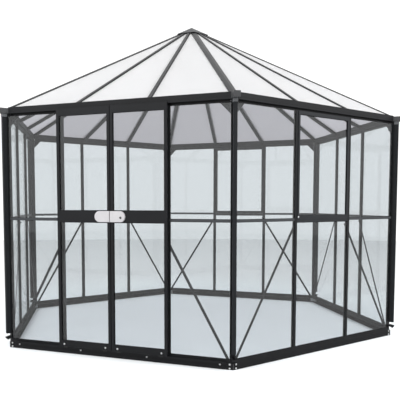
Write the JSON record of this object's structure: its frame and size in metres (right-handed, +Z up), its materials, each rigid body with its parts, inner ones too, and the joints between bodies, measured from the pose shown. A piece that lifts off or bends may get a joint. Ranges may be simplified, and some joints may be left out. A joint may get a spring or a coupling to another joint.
{
  "type": "hexagonal greenhouse",
  "caption": "Glazed six-sided garden greenhouse with a pyramid roof of translucent sheets, gutters and downpipes at the corners, vent windows and a pair of sliding doors.",
  "frame": {"origin": "on the ground under the peak of the roof, at the middle of the six-sided plan", "axes": "+Z is up, the door wall faces -Y, and +X runs corner to corner, to the right as seen from outside the doors"},
  "size_m": [3.86, 3.3664, 2.8078],
  "materials": {
    "anthracite_frame": "matt anthracite powder coat on aluminium profiles",
    "clear_glass": "clear toughened glass",
    "twin_wall_sheet": "translucent twin-wall polycarbonate roof sheet",
    "galvanised_plate": "bare galvanised plate",
    "white_plastic": "white moulded plastic",
    "black_nylon": "black moulded nylon"
  },
  "bodies": {
    "frame": {"base_rails": "anthracite_frame", "sills": "anthracite_frame", "corner_posts": "anthracite_frame", "downpipe_spouts": "anthracite_frame", "wall_mullions": "anthracite_frame", "door_jambs": "anthracite_frame", "pane_strips": "anthracite_frame", "vent_transoms": "anthracite_frame", "front_right_vent_sash": "anthracite_frame", "back_vent_sash": "anthracite_frame", "braces": "anthracite_frame", "gussets": "anthracite_frame", "gutters": "anthracite_frame", "gutter_outlets": "anthracite_frame", "hip_rafters": "anthracite_frame", "roof_bars": "anthracite_frame", "apex_plate": "anthracite_frame", "apex_cap": "anthracite_frame", "door_guide": "anthracite_frame", "base_corner_brackets": "galvanised_plate", "front_wall_glass": "clear_glass", "front_right_wall_glass": "clear_glass", "back_right_wall_glass": "clear_glass", "back_wall_glass": "clear_glass", "back_left_wall_glass": "clear_glass", "front_left_wall_glass": "clear_glass", "vent_glass": "clear_glass", "front_roof_panes": "twin_wall_sheet", "front_right_roof_panes": "twin_wall_sheet", "back_right_roof_panes": "twin_wall_sheet", "back_roof_panes": "twin_wall_sheet", "back_left_roof_panes": "twin_wall_sheet", "front_left_roof_panes": "twin_wall_sheet"},
    "left_door": {"left_door_stiles": "anthracite_frame", "left_door_rails": "anthracite_frame", "left_door_glass": "clear_glass", "left_door_handle": "white_plastic", "left_door_rollers": "black_nylon", "left_door_shoes": "black_nylon"},
    "right_door": {"right_door_stiles": "anthracite_frame", "right_door_rails": "anthracite_frame", "right_door_glass": "clear_glass", "right_door_handle": "white_plastic", "right_door_rollers": "black_nylon", "right_door_shoes": "black_nylon"}
  },
  "joints": [
    {"name": "left_door_slide", "type": "slide", "parent": "frame", "child": "left_door", "axis": [-1, 0, 0], "range_m": [0, 0.435]},
    {"name": "right_door_slide", "type": "slide", "parent": "frame", "child": "right_door", "axis": [1, 0, 0], "range_m": [0, 0.435]}
  ]
}
